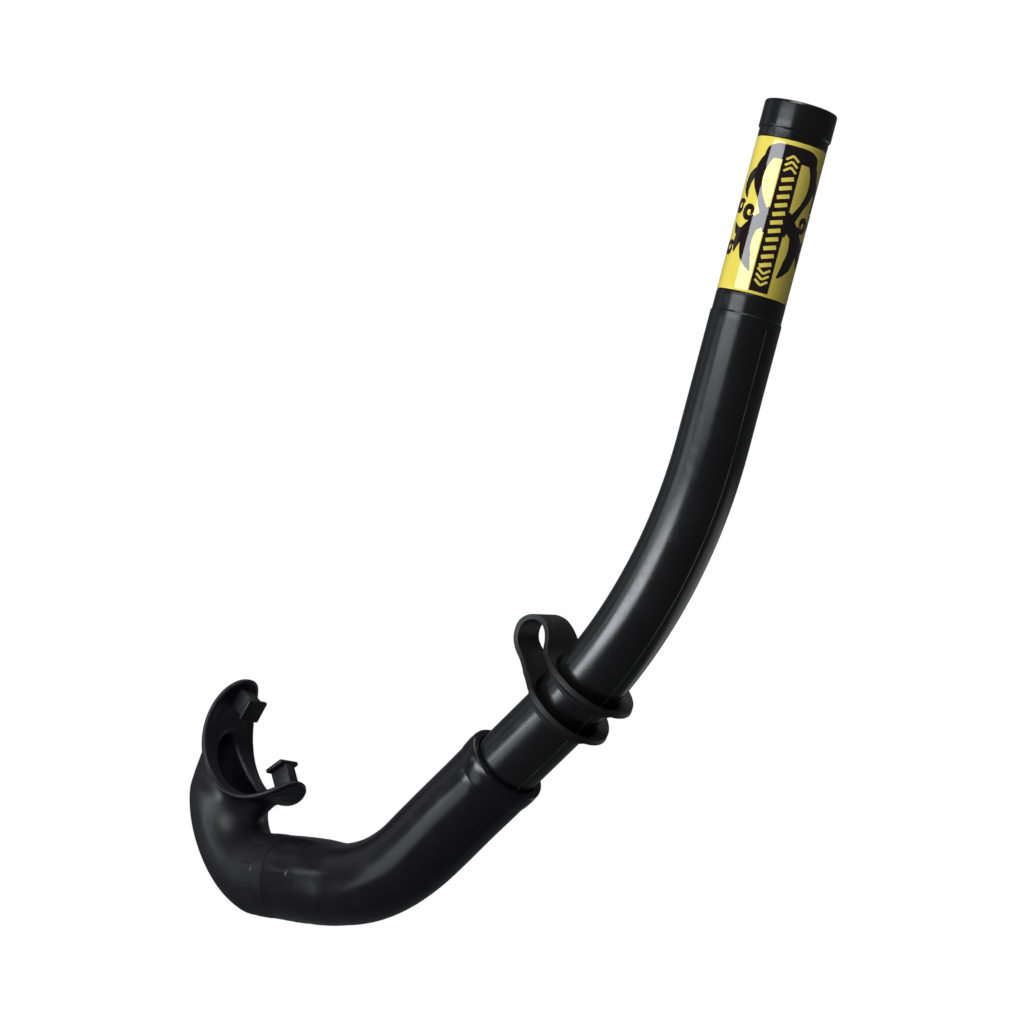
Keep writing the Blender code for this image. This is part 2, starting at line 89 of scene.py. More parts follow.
SEAM_STOPS = 400  # places along a tube where its parting line is looked for
SPLIT_HALF = 0.07 * MM
SPLIT_LEAD = 4.0 * MM  # how far the mouthpiece is made past the split, before trimming

# The elbow
ELBOW_BEND_RADIUS = 56.0 * MM
ELBOW_BEND_ANGLE = math.radians(41.6)
ELBOW_TAIL = 20.5 * MM
ELBOW_LIP_RADIUS = 13.75 * MM
ELBOW_STEP = 6.5 * MM
ELBOW_SOCKET_RADIUS = 13.4 * MM
ELBOW_RADIUS = 13.2 * MM
ELBOW_ROUNDING = 0.35 * MM
TAIL_RADIUS = 14.0 * MM
AIRWAY_RADIUS = 9.3 * MM
BEAD_RADIUS = 11.1 * MM  # of the connector ring's beads, which the bores clear
CONNECTOR_REACH = 11.0 * MM
PAD_COUNT = 8
PAD_HALF = (3.3 * MM, 1.3 * MM)
PAD_CORNER = 0.9 * MM
PAD_RELIEF = 0.13 * MM
PAD_RIM = 0.025 * MM  # of a low bead round each pad's top
PAD_DISTANCE = 8.8 * MM
PAD_PHASE = math.radians(7.0)

# The mouthpiece
MOUTH_ANGLE = math.radians(56.0)
MOUTH_STRAIGHT = 16.5 * MM
MOUTH_TURN_RADIUS = 21.0 * MM
MOUTH_TURN_ANGLE = math.radians(100.0)
MOUTH_TUBE_RADIUS = 13.8 * MM
MOUTH_TURN_FLAT = 2.6 * MM
SLOT_HALF = (15.0 * MM, 5.4 * MM)
THROAT_HALF = (19.6 * MM, 9.8 * MM)
THROAT_RISE = 7.0 * MM
SLOT_RISE = 10.0 * MM
SLOT_POWER = 2.5
SHIELD_RADIUS = 21.8 * MM
SHIELD_THICKNESS = 2.0 * MM
SHIELD_HALF_ANGLE = math.radians(93.0)
SHIELD_SHIFT = math.radians(2.0)
SHIELD_HALF_WIDTH = 12.1 * MM
SHIELD_POWER = 2.35
TAB_ANGLE = math.radians(76.0)
TAB_WEB = (7.6 * MM, 4.2 * MM, 8.6 * MM)
TAB_FLANGE = (8.0 * MM, 8.0 * MM, 1.5 * MM)
TAB_ROOT = 0.8 * MM  # how far a web sinks into the shield
TAB_LAP = 0.2 * MM  # how far a flange sinks into its web
WEB_CORNER = 0.45 * MM
FLANGE_CORNER = 0.5 * MM
SECTION_SIDES = 96
SHIELD_SIDES = 224
SHIELD_MIDDLE = SHIELD_RADIUS + SHIELD_THICKNESS / 2
SHIELD_BACK = SHIELD_RADIUS + SHIELD_THICKNESS
SHIELD_THIN = 0.85 * MM  # half thickness of the shield inside its bead
SHIELD_BEAD = 1.15 * MM  # radius of the bead along its rim
SHIELD_SHARES = (0.15, 0.4, 0.65, 0.85, 1.0)
BLEND_VOXEL = 0.50 * MM  # mesh size while shield and tube are blended
BLEND_REACH = 1.8 * MM  # swelling and shrinking that fills the corner between them
FINAL_VOXEL = 0.46 * MM
FINAL_ROUNDS = 8
NECK_BANDS = (  # (nearest, furthest behind the shield, rounds of smoothing)
    (0.2 * MM, 11.0 * MM, 16), (0.5 * MM, 9.0 * MM, 16), (0.9 * MM, 7.5 * MM, 28))
SLOT_BAND = (0.55, 1.75)  # ring round the slot's edge, as shares of its superellipse
SLOT_ROUNDS = 24

# The keeper
KEEPER_BELOW_BEND = -7.0 * MM
KEEPER_YAW = math.radians(11.0)
KEEPER_THICKNESS = 1.6 * MM
KEEPER_HOLE = 11.45 * MM
KEEPER_RIM = 15.6 * MM
KEEPER_DISH = 4.2 * MM
LOOP_HALF_WIDTH = 5.4 * MM
WAIST_HALF_WIDTH = 9.6 * MM
WAIST_RUN = 13.5 * MM  # of the waist along the strip
WAIST_POWER = 2.5  # how soon the waist narrows
KEEPER_WEB = 0.8 * MM  # softness of the corner between ring and strip
KEEPER_STEPS = 40  # of the strip's mesh, from the hole out to the edge
KEEPER_STOPS = 200  # along its line from the barrel's axis to the fold
KEEPER_EDGE = 0.40 * MM

# Dark and pale tone of each moulded material
RUBBER = ((0.0062, 0.0058, 0.0078), (0.0085, 0.0079, 0.0104))
SILICONE = ((0.0078, 0.0072, 0.0068), (0.0105, 0.0098, 0.0090))
RUBBER_GRAIN = 1500.0
SILICONE_GRAIN = 2400.0


# ---- paths and skins

class Path:
    """Straights and arcs in the XZ plane; angles run from +X towards +Z."""

    def __init__(self, start, heading, pieces):
        self.start, self.heading, self.pieces = Vector(start), heading, pieces
        self.length = sum(run for run, turn in pieces)

    def at(self, distance):
        point, heading, left = self.start.copy(), self.heading, distance
        for index, (length, turn) in enumerate(self.pieces):
            run = left if index == len(self.pieces) - 1 else min(left, length)
            angle = turn * run / length
            chord = run if abs(angle) < TINY else run * math.sin(angle / 2) / (angle / 2)
            point += chord * Vector((math.cos(heading + angle / 2), 0.0, math.sin(heading + angle / 2)))
            heading += angle
            left -= run
            if left <= 0.0:
                break
        return point, heading

    def frame(self, distance):
        """Local X runs along the path, local Y across the J, local Z to the J's outside."""
        point, heading = self.at(distance)
        return Matrix.Translation(point) @ Matrix.Rotation(-heading, 4, "Y")


def barrel_path():
    lower = LOWER_STRAIGHT + 2 * SOCKET_DEPTH
    pieces = [(TOP_STRAIGHT, 0.0), (BEND_RADIUS * BEND_ANGLE, -BEND_ANGLE), (lower, 0.0)]
    return Path((BARREL_X, 0.0, RIM_HEIGHT), -math.pi / 2, pieces)


def elbow_path():
    start, heading = barrel_path().at(BEND_END + SOCKET_START)
    bend = ELBOW_BEND_RADIUS * ELBOW_BEND_ANGLE
    pieces = [(LOWER_STRAIGHT - SOCKET_START, 0.0), (bend, -ELBOW_BEND_ANGLE), (ELBOW_TAIL, 0.0)]
    return Path(start, heading, pieces)


def mouth_path():
    start, heading = elbow_path().at(elbow_path().length)
    turn = MOUTH_TURN_RADIUS * MOUTH_TURN_ANGLE
    return Path(start, heading, [(MOUTH_STRAIGHT, 0.0), (turn, -MOUTH_TURN_ANGLE)])


def blend(first, last, share):
    return first + (last - first) * share


def smoothstep(low, high, value):
    share = np.clip((value - low) / (high - low), 0.0, 1.0)
    return share * share * (3 - 2 * share)


@contextmanager
def edited(mesh):
    """The mesh as a bmesh, which is written back at the end."""
    skin = bmesh.new()
    skin.from_mesh(mesh)
    yield skin
    skin.to_mesh(mesh)
    skin.free()


def placed(name, data):
    thing = bpy.data.objects.new(name, data)
    bpy.context.scene.collection.objects.link(thing)
    return thing


def shade(mesh, sharp):
    mesh.shade_smooth()
    mesh.set_sharp_from_angle(angle=math.radians(sharp))


def mesh_piece(name, points, faces):
    mesh = bpy.data.meshes.new(name)
    mesh.from_pydata([tuple(point) for point in points], [], faces)
    mesh.validate()
    with edited(mesh) as skin:
        bmesh.ops.recalc_face_normals(skin, faces=skin.faces)
    shade(mesh, 35.0)
    return placed(name, mesh)


def skin_rings(rings, closed):
    """Points and faces of a skin over rings; a closed one joins its last ring to its first."""
    count = len(rings[0])
    points = [point for ring in rings for point in ring]
    faces = []
    for index in range(len(rings) if closed else len(rings) - 1):
        one, other = index * count, ((index + 1) % len(rings)) * count
        for side in range(count):
            following = (side + 1) % count
            faces.append((one + side, one + following, other + following, other + side))
    if not closed:
        faces.append(tuple(range(count)))
        faces.append(tuple(range((len(rings) - 1) * count, len(rings) * count)))
    return points, faces


def fillet(profile, radius, steps=3):
    """Rounds each corner of a closed outline of (distance, radius) points."""
    rounded = []
    for index, point in enumerate(profile):
        corner = Vector(point)
        before = Vector(profile[index - 1]) - corner
        after = Vector(profile[(index + 1) % len(profile)]) - corner
        if before.length < TINY or after.length < TINY:
            continue
        bend = math.pi - before.angle(after)
        cut = min(radius * math.tan(bend / 2), 0.45 * before.length, 0.45 * after.length)
        if bend < math.radians(12):
            rounded.append(point)
            continue
        first = corner + before.normalized() * cut
        last = corner + after.normalized() * cut
        for step in range(steps + 1):
            share = step / steps
            point = first * (1 - share) ** 2 + corner * 2 * share * (1 - share) + last * share ** 2
            rounded.append(tuple(point))
    return rounded


def finely(profile, longest, chosen=None):
    """Splits the long runs of a closed outline, or only those for which chosen(start, end) holds."""
    fine = []
    for index, point in enumerate(profile):
        following = profile[(index + 1) % len(profile)]
        count = 1
        if chosen is None or chosen(point, following):
            count = max(1, math.ceil(abs(following[0] - point[0]) / longest))
        for step in range(count):
            share = step / count
            fine.append(tuple(point[k] + (following[k] - point[k]) * share for k in (0, 1)))
    return fine


def seam_turns(sides, radius, lean=0.0):
    """Angles round a tube, with extra ones at the mould's parting plane, which leans from the J's own."""
    turns = [(index + 0.5) * TAU / sides for index in range(sides)]
    for seam in (lean, lean + math.pi):
        turns += [(seam + offset * SEAM_HALF / radius) % TAU for offset in (-1.0, -0.45, 0.45, 1.0)]
    return sorted(turns)


def seam_height(turn, radius, height, lean=0.0):
    """A fine ridge on both sides of the parting plane."""
    away = abs(math.sin(turn - lean)) * radius
    return height * max(0.0, min(1.0, (SEAM_HALF - away) / (0.55 * SEAM_HALF)))


def paint_seam(piece, path, first, last, radius, material, lean=0.0):
    """Gives the parting line's own faces the seam material, whose pale colour is a painted highlight."""
    piece.data.materials.append(material)
    places = [path.frame(blend(first, last, k / SEAM_STOPS)).inverted() for k in range(SEAM_STOPS + 1)]
    starts = np.array([place.inverted().translation for place in places])
    for face in piece.data.polygons:
        centre = face.center
        if abs(centre.y) > radius * abs(math.sin(lean)) + SEAM_HALF:
            continue
        nearest = int(np.argmin(((starts - np.array(centre)) ** 2).sum(axis=1)))
        local = places[nearest] @ centre
        away = abs(math.sin(math.atan2(local.y, local.z) - lean)) * radius
        outside = math.hypot(local.y, local.z) > radius - 0.6 * MM
        if 0 < nearest < SEAM_STOPS and away < 0.6 * SEAM_HALF and outside:
            face.material_index = 1


def lumps(point, size, depth):
    """Gentle unevenness of a moulded surface."""
    return depth * noise.noise(Vector(point) / size)


def swept(name, path, profile, turns, height=None):
    """A tube wall swept along a path. height(distance, turn, point) adds relief to the outside."""
    rings = []
    middle = (min(r for d, r in profile) + max(r for d, r in profile)) / 2
    for distance, radius in profile:
        place = path.frame(distance)
        ring = []
        for turn in turns:
            reach = radius
            if height is not None and radius > middle:
                spot = place @ Vector((0.0, radius * math.sin(turn), radius * math.cos(turn)))
                reach += height(distance, turn, spot)
            ring.append(place @ Vector((0.0, reach * math.sin(turn), reach * math.cos(turn))))
        rings.append(ring)
    return mesh_piece(name, *skin_rings(rings, True))


# ---- materials

class Nodes:
    """Short names for making a Principled material's nodes."""

    def __init__(self, name, colour, roughness, **settings):
        self.made = bpy.data.materials.new(name)
        self.made.use_nodes = True
        self.tree = self.made.node_tree
        self.shader = self.tree.nodes["Principled BSDF"]
        self.shader.inputs["Base Color"].default_value = (*colour, 1.0)
        self.shader.inputs["Roughness"].default_value = roughness
        for key, value in settings.items():
            self.shader.inputs[key.replace("_", " ")].default_value = value
        self.spot = self.add("ShaderNodeTexCoord").outputs["Object"]

    def add(self, kind, **settings):
        node = self.tree.nodes.new(kind)
        for key, value in settings.items():
            setattr(node, key, value)
        return node

    def join(self, source, target):
        self.tree.links.new(source, target)

    def feed(self, sockets, *sources):
        """Links each socket to its source, or sets it where the source is a number or a colour."""
        for socket, source in zip(sockets, sources):
            if isinstance(source, bpy.types.NodeSocket):
                self.join(source, socket)
            else:
                socket.default_value = (*source, 1.0) if isinstance(source, tuple) else source

    def noise(self, scale, detail=3.0, rough=0.5, stretch=None):
        node = self.add("ShaderNodeTexNoise")
        node.inputs["Scale"].default_value = scale
        node.inputs["Detail"].default_value = detail
        node.inputs["Roughness"].default_value = rough
        source = self.spot
        if stretch is not None:
            mapping = self.add("ShaderNodeMapping")
            mapping.inputs["Scale"].default_value = stretch
            self.join(source, mapping.inputs["Vector"])
            source = mapping.outputs["Vector"]
        self.join(source, node.inputs["Vector"])
        return node.outputs["Fac"]

    def ramp(self, source, low, high, first, last):
        node = self.add("ShaderNodeMapRange", clamp=True)
        keys = ("Value", "From Min", "From Max", "To Min", "To Max")
        self.feed([node.inputs[key] for key in keys], source, low, high, first, last)
        return node.outputs["Result"]

    def maths(self, operation, one, other):
        node = self.add("ShaderNodeMath", operation=operation)
        self.feed(node.inputs, one, other)
        return node.outputs["Value"]

    def mix(self, share, one, other):
        node = self.add("ShaderNodeMix", data_type="RGBA")
        self.feed([socket for socket in node.inputs if socket.type == "RGBA"], one, other)
        self.join(share, node.inputs["Factor"])
        return next(socket for socket in node.outputs if socket.type == "RGBA")

    def bump(self, source, depth, strength):
        node = self.add("ShaderNodeBump")
        node.inputs["Distance"].default_value = depth
        node.inputs["Strength"].default_value = strength
        self.join(source, node.inputs["Height"])
        return node.outputs["Normal"]

    def specks(self, scale, size):
        """Sparse dots of dust, 1 on a dot and 0 elsewhere."""
        cells = self.add("ShaderNodeTexVoronoi", feature="F1")
        cells.inputs["Scale"].default_value = scale
        self.join(self.spot, cells.inputs["Vector"])
        return self.ramp(cells.outputs["Distance"], size * 0.5, size, 1.0, 0.0)

    def set(self, key, source):
        self.join(source, self.shader.inputs[key])


def barrel_material():
    """Glossy black tube: even base, faint scuffs and hair scratches, a little dust."""
    n = Nodes("barrel_gloss", (0.0062, 0.0060, 0.0064), 0.24, IOR=1.48)
    cloud = n.noise(60.0, 4.0)
    scuff = n.noise(300.0, 5.0, 0.65)
    hairs = n.noise(700.0, 2.0, 0.5, (2.0, 2.0, 0.12))
    scratch = n.ramp(hairs, 0.70, 0.74, 0.0, 1.0)
    dust = n.maths("MULTIPLY", n.specks(210.0, 0.040), n.ramp(cloud, 0.52, 0.60, 0.0, 1.0))
    rough = n.maths("ADD", n.ramp(cloud, 0.3, 0.7, 0.20, 0.25), n.ramp(scuff, 0.50, 0.80, 0.0, 0.08))
    n.set("Roughness", n.maths("ADD", rough, n.maths("MULTIPLY", scratch, 0.10)))
    tone = n.mix(n.ramp(cloud, 0.35, 0.65, 0.0, 1.0), (0.0054, 0.0052, 0.0056), (0.0074, 0.0072, 0.0076))
    n.set("Base Color", n.mix(n.maths("MULTIPLY", dust, 0.5), tone, (0.10, 0.10, 0.10)))
    n.set("Normal", n.bump(n.noise(160.0, 2.0), 0.012 * MM, 0.25))
    return n.made


def seam_highlight_material(name, colour):
    """The rougher edge along a mould's parting line; its pale colour, broken into patches, is a painted
    highlight.
    """
    n = Nodes(name, colour, 0.5)
    broken = n.ramp(n.noise(110.0, 4.0, 0.7), 0.40, 0.62, 0.0, 1.0)
    # Painted highlight: pale colour along the parting line, broken into darker patches.
    n.set("Base Color", n.mix(broken, tuple(0.35 * value for value in colour), colour))
    n.set("Roughness", n.ramp(n.noise(800.0), 0.3, 0.7, 0.4, 0.6))
    return n.made


def soft_material(name, colour, paler, roughness, grain):
    """Satin moulded rubber: fine grain, cloudy sheen, small pale specks."""
    n = Nodes(name, colour, roughness, IOR=1.37)
    cloud = n.noise(45.0, 4.0)
    patch = n.noise(160.0, 5.0, 0.6)
    dust = n.maths("MULTIPLY", n.specks(260.0, 0.05), n.ramp(cloud, 0.5, 0.58, 0.0, 1.0))
    tone = n.mix(n.ramp(patch, 0.35, 0.7, 0.0, 1.0), colour, paler)
    n.set("Base Color", n.mix(n.maths("MULTIPLY", dust, 0.55), tone, (0.12, 0.115, 0.11)))
    spread = n.ramp(cloud, 0.3, 0.7, roughness - 0.04, roughness + 0.04)
    n.set("Roughness", n.maths("ADD", spread, n.ramp(patch, 0.4, 0.7, 0.0, 0.05)))
    n.set("Normal", n.bump(n.noise(grain, 3.0, 0.6), 0.004 * MM, 0.25))
    return n.made


def film_material(name, colour, deeper):
    """Printed film under a clear gloss."""
    n = Nodes(name, colour, 0.5, Specular_IOR_Level=0.0, Coat_Weight=1.0, Coat_Roughness=0.05, Coat_IOR=1.6)
    cloud = n.noise(70.0, 3.0)
    n.set("Base Color", n.mix(n.ramp(cloud, 0.3, 0.7, 0.0, 1.0), colour, deeper))
    n.set("Roughness", n.ramp(n.noise(500.0, 4.0), 0.3, 0.7, 0.42, 0.58))
    n.set("Normal", n.bump(n.noise(200.0, 2.0), 0.006 * MM, 0.2))
    return n.made


def dress(piece, material, body, slot, *nodes):
    piece.data.materials.clear()
    piece.data.materials.append(material)
    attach(piece, body)
    if nodes:
        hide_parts(*nodes)


# ---- barrel

def make_barrel():
    seat_top, seat_end = LABEL_TOP - GAP, LABEL_TOP + LABEL_LENGTH + GAP
    outline = [
        (0.0, COLLAR_RADIUS - RIM_ROUNDING),
        (0.25 * RIM_ROUNDING, COLLAR_RADIUS - 0.25 * RIM_ROUNDING),
        (RIM_ROUNDING, COLLAR_RADIUS),
        (COLLAR_LENGTH, COLLAR_RADIUS),
        (COLLAR_LENGTH + GAP, NECK_RADIUS),
        (seat_top, NECK_RADIUS),
        (seat_top, LABEL_SEAT_RADIUS),
        (seat_end, LABEL_SEAT_RADIUS),
        (seat_end, NECK_RADIUS),
        (STEP_DISTANCE, NECK_RADIUS),
        (STEP_DISTANCE + 0.35 * MM, BARREL_RADIUS),
        (BARREL_END, BARREL_RADIUS),
        (BARREL_END, BORE_RADIUS),
        (0.0, BORE_RADIUS),
    ]
    profile = finely(fillet(outline, FINE_ROUNDING), BARREL_RUN)

    def relief(distance, turn, spot):
        below = float(smoothstep(STEP_DISTANCE + 0.5 * MM, STEP_DISTANCE + 3 * MM, distance))
        seam = seam_height(turn, BARREL_RADIUS, BARREL_SEAM, BARREL_LEAN) * below
        return seam + lumps(spot, *BARREL_LUMPS) * below

    path = barrel_path()
    turns = seam_turns(BARREL_SIDES, BARREL_RADIUS, BARREL_LEAN)
    piece = swept("barrel_tube", path, profile, turns, relief)
    dress(piece, barrel_material(), "barrel_body", "barrel", "barrel")
    # The seam's pale colour is a painted highlight along the barrel's parting line.
    edge = seam_highlight_material("barrel_seam_highlight", (0.17, 0.17, 0.175))
    paint_seam(piece, path, STEP_DISTANCE + 1.5 * MM, BARREL_END - 1 * MM, BARREL_RADIUS, edge, BARREL_LEAN)


# ---- label

LABEL_MIDDLE = math.radians(-40.5)  # direction of the printed band round the barrel
PRINT_RISE = 0.03 * MM
PRINT_COLUMN = 0.7  # widest step across a stroke, in millimetres


def on_label(spot, radius, middle):
    turn = middle + spot.x * MM / LABEL_OUTER
    foot = RIM_HEIGHT - LABEL_TOP - LABEL_LENGTH
    return Vector((BARREL_X + radius * math.cos(turn), radius * math.sin(turn), foot + spot.y * MM))


def ribbon(line, widths):
    """Left and right edges of a stroke with a changing half width, in label coordinates."""
    left, right = [], []
    for index, point in enumerate(line):
        before, after = line[max(index - 1, 0)], line[min(index + 1, len(line) - 1)]
        along = (Vector(after) - Vector(before)).normalized()
        side = Vector((-along.y, along.x)) * widths[index]
        left.append(Vector(point) + side)
        right.append(Vector(point) - side)
    return left, right


def bar(x0, y0, x1, y1, half, count=24):
    line = [(x0 + (x1 - x0) * k / count, y0 + (y1 - y0) * k / count) for k in range(count + 1)]
    return ribbon(line, [half] * (count + 1))


def curl(centre, start, sweep, outer, inner, wide, count=40):
    """A tapering hook that winds in on its centre."""
    line, widths = [], []
    for k in range(count + 1):
        share = k / count
        reach = outer + (inner - outer) * share ** 0.8
        turn = start + sweep * share
        line.append((centre[0] + reach * math.cos(turn), centre[1] + reach * math.sin(turn)))
        widths.append(wide * (0.12 + 0.88 * math.sin(math.pi * min(1.0, 0.15 + 0.85 * share)) ** 0.7))
    widths[-1] = wide * 0.5
    return ribbon(line, widths)


def curve(p0, p1, p2, p3, t):
    """A smooth curve from p1 to p2."""
    return 0.5 * (2 * p1 + (p2 - p0) * t + (2 * p0 - 5 * p1 + 4 * p2 - p3) * t * t
                  + (3 * p1 - p0 - 3 * p2 + p3) * t ** 3)


def through(stops, count, beyond):
    """A smooth line through the stops, which heads for the point beyond at its end."""
    stops = [stops[0], *stops, beyond]
    line = []
    for index in range(len(stops) - 3):
        near = stops[index:index + 4]
        for k in range(count + (index == len(stops) - 4)):
            line.append(tuple(curve(*(stop[axis] for stop in near), k / count) for axis in (0, 1)))
    return line


def wave(points, widths, count=16):
    """A smooth stroke through a few points."""
    line = through(points, count, points[-1])
    return ribbon(line, np.interp(np.arange(len(line)) / count, range(len(widths)), widths).tolist())


def print_strokes():
    """The dark print of one side of the label, in millimetres from the band's middle and the label's foot."""
    strokes = [bar(0.0, 0.9, 0.0, 45.6, 2.95)]
    for side in (-1.0, 1.0):
        def add(points, widths):
            strokes.append(wave([(side * x, y) for x, y in points], widths))

        add([(2.4, 43.2), (5.0, 43.1), (7.2, 42.4), (8.8, 40.6)], [2.4, 2.3, 1.9, 0.15])
        add([(2.2, 19.0), (4.4, 24.0), (6.9, 28.6), (9.0, 33.0), (9.2, 37.4), (7.4, 41.0), (5.4, 43.2)],
            [1.3, 1.3, 0.9, 1.5, 1.9, 1.5, 1.4])
        add([(9.6, 37.0), (12.4, 34.4), (13.2, 31.0), (11.8, 27.8)], [1.1, 1.6, 1.3, 0.15])
        add([(2.2, 25.4), (5.4, 21.4), (8.6, 18.6), (11.2, 15.2), (11.8, 11.2)], [1.5, 2.1, 1.9, 1.8, 0.15])
        add([(6.6, 19.0), (7.9, 14.8), (6.8, 10.4), (4.4, 6.4)], [1.2, 2.0, 1.8, 0.15])
        add([(9.8, 17.4), (12.6, 17.8), (15.0, 20.4)], [1.3, 1.3, 0.15])
        for (x, y), outer, wide, start, spin in (
            ((9.4, 23.9), 2.3, 0.95, -150, 1),
            ((14.2, 25.2), 2.1, 0.90, 150, -1),
            ((14.6, 12.4), 2.1, 0.90, 150, -1),
        ):
            turn = math.radians(start) if side > 0 else math.pi - math.radians(start)
            strokes.append(curl((side * x, y), turn, spin * side * math.radians(390), outer, 1.0, wide))
    return strokes


def gold_strokes():
    """Arrowheads at both ends of the band, and plain slanted bars between them."""
    strokes = []
    for base, way in ((42.6, 1.0), (3.0, -1.0)):
        for step in range(3):
            tip = base - way * step * 1.75
            for side in (-1.0, 1.0):
                strokes.append(bar(0.0, tip, side * 1.95, tip - way * 1.45, 0.36, 4))
    for step in range(11):
        low = 9.2 + step * 2.62
        strokes.append(bar(-1.8, low - 0.6, 1.8, low + 0.6, 0.62, 6))
    return strokes


def print_piece(name, strokes, radius, material):
    """Thin closed solids laid on the label, one for each stroke, on both sides of the tube."""
    points, faces = [], []
    for middle in (LABEL_MIDDLE, LABEL_MIDDLE + math.pi):
        for left, right in strokes:
            widest = max((one - other).length for one, other in zip(left, right))
            columns = max(2, math.ceil(widest / PRINT_COLUMN))
            rows = []
            for one, other in zip(left, right):
                spots = [one.lerp(other, column / columns) for column in range(columns + 1)]
                row = [on_label(spot, radius, middle) for spot in spots]
                row += [on_label(spot, radius - 2.5 * PRINT_RISE, middle) for spot in reversed(spots)]
                rows.append(row)
            stroke_points, stroke_faces = skin_rings(rows, False)
            faces += [tuple(corner + len(points) for corner in face) for face in stroke_faces]
            points += stroke_points
    piece = mesh_piece(name, points, faces)
    dress(piece, material, "barrel_body", "label")


def make_label():
    gold = film_material("label_gold", (0.79, 0.66, 0.115), (0.73, 0.59, 0.080))
    dark = film_material("label_print", (0.012, 0.006, 0.006), (0.009, 0.005, 0.005))
    ends = (0.0, LABEL_LENGTH)
    outline = [(end, LABEL_OUTER) for end in ends] + [(end, LABEL_INNER) for end in reversed(ends)]
    start = Path((BARREL_X, 0.0, RIM_HEIGHT - LABEL_TOP), -math.pi / 2, [(LABEL_LENGTH, 0.0)])
    turns = [(index + 0.5) * TAU / BARREL_SIDES for index in range(BARREL_SIDES)]
    sleeve = swept("label_film", start, finely(fillet(outline, FILM_ROUNDING), FILM_RUN), turns)
    dress(sleeve, gold, "barrel_body", "label", "label")
    print_piece("label_ornament", print_strokes(), LABEL_OUTER + PRINT_RISE, dark)
    print_piece("label_arrows", gold_strokes(), LABEL_OUTER + 2 * PRINT_RISE, gold)


# ---- grip pads

def pad_height(away, turn):
    """Relief of the grip pads at a distance from the split and an angle round the tube."""
    pitch = TAU / PAD_COUNT
    offset = ((turn + PAD_PHASE + pitch / 2) % pitch) - pitch / 2
    across = abs(offset) * TAIL_RADIUS
    along = abs(away - PAD_DISTANCE)
    x = max(along - (PAD_HALF[0] - PAD_CORNER), 0.0)
    y = max(across - (PAD_HALF[1] - PAD_CORNER), 0.0)
    edge = math.hypot(x, y) - PAD_CORNER
    plateau = PAD_RELIEF * float(1.0 - smoothstep(-0.34 * MM, 0.44 * MM, edge))
    return plateau + PAD_RIM * math.exp(-((edge + 0.32 * MM) / (0.24 * MM)) ** 2)


# ---- elbow

def make_elbow():
    path = elbow_path()
    end = path.length - SPLIT_HALF
    bend_start = LOWER_STRAIGHT - SOCKET_START
    bend_end = path.length - ELBOW_TAIL
    socket_end = SOCKET_DEPTH + GAP
    seat = BEAD_RADIUS + GAP
    outline = [
        (0.0, ELBOW_LIP_RADIUS - 0.75 * MM),
        (0.3 * MM, ELBOW_LIP_RADIUS - 0.15 * MM),
        (1.0 * MM, ELBOW_LIP_RADIUS + 0.02 * MM),
        (3.0 * MM, ELBOW_LIP_RADIUS + 0.10 * MM),
        (5.2 * MM, ELBOW_LIP_RADIUS - 0.02 * MM),
        (ELBOW_STEP, ELBOW_LIP_RADIUS - 0.15 * MM),
        (ELBOW_STEP + 0.25 * MM, ELBOW_SOCKET_RADIUS - 0.12 * MM),
        (ELBOW_STEP + 1.2 * MM, ELBOW_SOCKET_RADIUS),
        (bend_start - 4 * MM, ELBOW_SOCKET_RADIUS),
        (bend_start + 6 * MM, ELBOW_RADIUS),
        (bend_end - 6 * MM, ELBOW_RADIUS),
        (bend_end + 1 * MM, TAIL_RADIUS - 0.25 * MM),
        (bend_end + 5 * MM, TAIL_RADIUS),
        (end - 0.12 * MM, TAIL_RADIUS),
        (end, TAIL_RADIUS - 0.12 * MM),
        (end, seat),
        (path.length - CONNECTOR_REACH - GAP, seat),
        (path.length - CONNECTOR_REACH - GAP, AIRWAY_RADIUS),
        (socket_end, AIRWAY_RADIUS),
        (socket_end, BARREL_RADIUS + GAP),
        (0.0, BARREL_RADIUS + GAP),
    ]
    pads = path.length - PAD_DISTANCE

    def under_pads(point, following):
        outside = min(point[1], following[1]) > TAIL_RADIUS - 1.0 * MM
        return outside and pads - 5 * MM < (point[0] + following[0]) / 2 < pads + 5 * MM

    profile = finely(fillet(outline, ELBOW_ROUNDING, 4), ELBOW_RUN)
    profile = finely(profile, PAD_RUN, under_pads)

    def relief(distance, turn, spot):
        pad = pad_height(path.length - distance, turn)
        fade = 1 - smoothstep(end - 4 * MM, end - 1 * MM, distance)
        middle = float(smoothstep(1 * MM, 5 * MM, distance) * fade)
        seam = seam_height(turn, ELBOW_RADIUS, ELBOW_SEAM) * (1.0 - min(1.0, pad / PAD_RELIEF))
        return pad + seam + lumps(spot, *ELBOW_LUMPS) * middle

    piece = swept("elbow_sleeve", path, profile, seam_turns(ELBOW_SIDES, ELBOW_RADIUS), relief)
    rubber = soft_material("elbow_rubber", *RUBBER, 0.21, RUBBER_GRAIN)
    dress(piece, rubber, "elbow_body", "elbow", "elbow")
    # The seam's pale colour is a painted highlight along the elbow's parting line.
    edge = seam_highlight_material("elbow_seam_highlight", (0.10, 0.098, 0.10))
    paint_seam(piece, path, 0.5 * MM, path.length - ELBOW_TAIL, ELBOW_RADIUS, edge)


# ---- mouthpiece

def superellipse(turn, power):
    along = math.copysign(abs(math.cos(turn)) ** (2 / power), math.cos(turn))
    wide = math.copysign(abs(math.sin(turn)) ** (2 / power), math.sin(turn))
    return along, wide


def section(place, half_in, half_across, power=2.0):
    ring = []
    for index in range(SECTION_SIDES):
        high, wide = superellipse(TAU * index / SECTION_SIDES, power)
        ring.append(place @ Vector((0.0, half_across * wide, half_in * high)))
    return ring


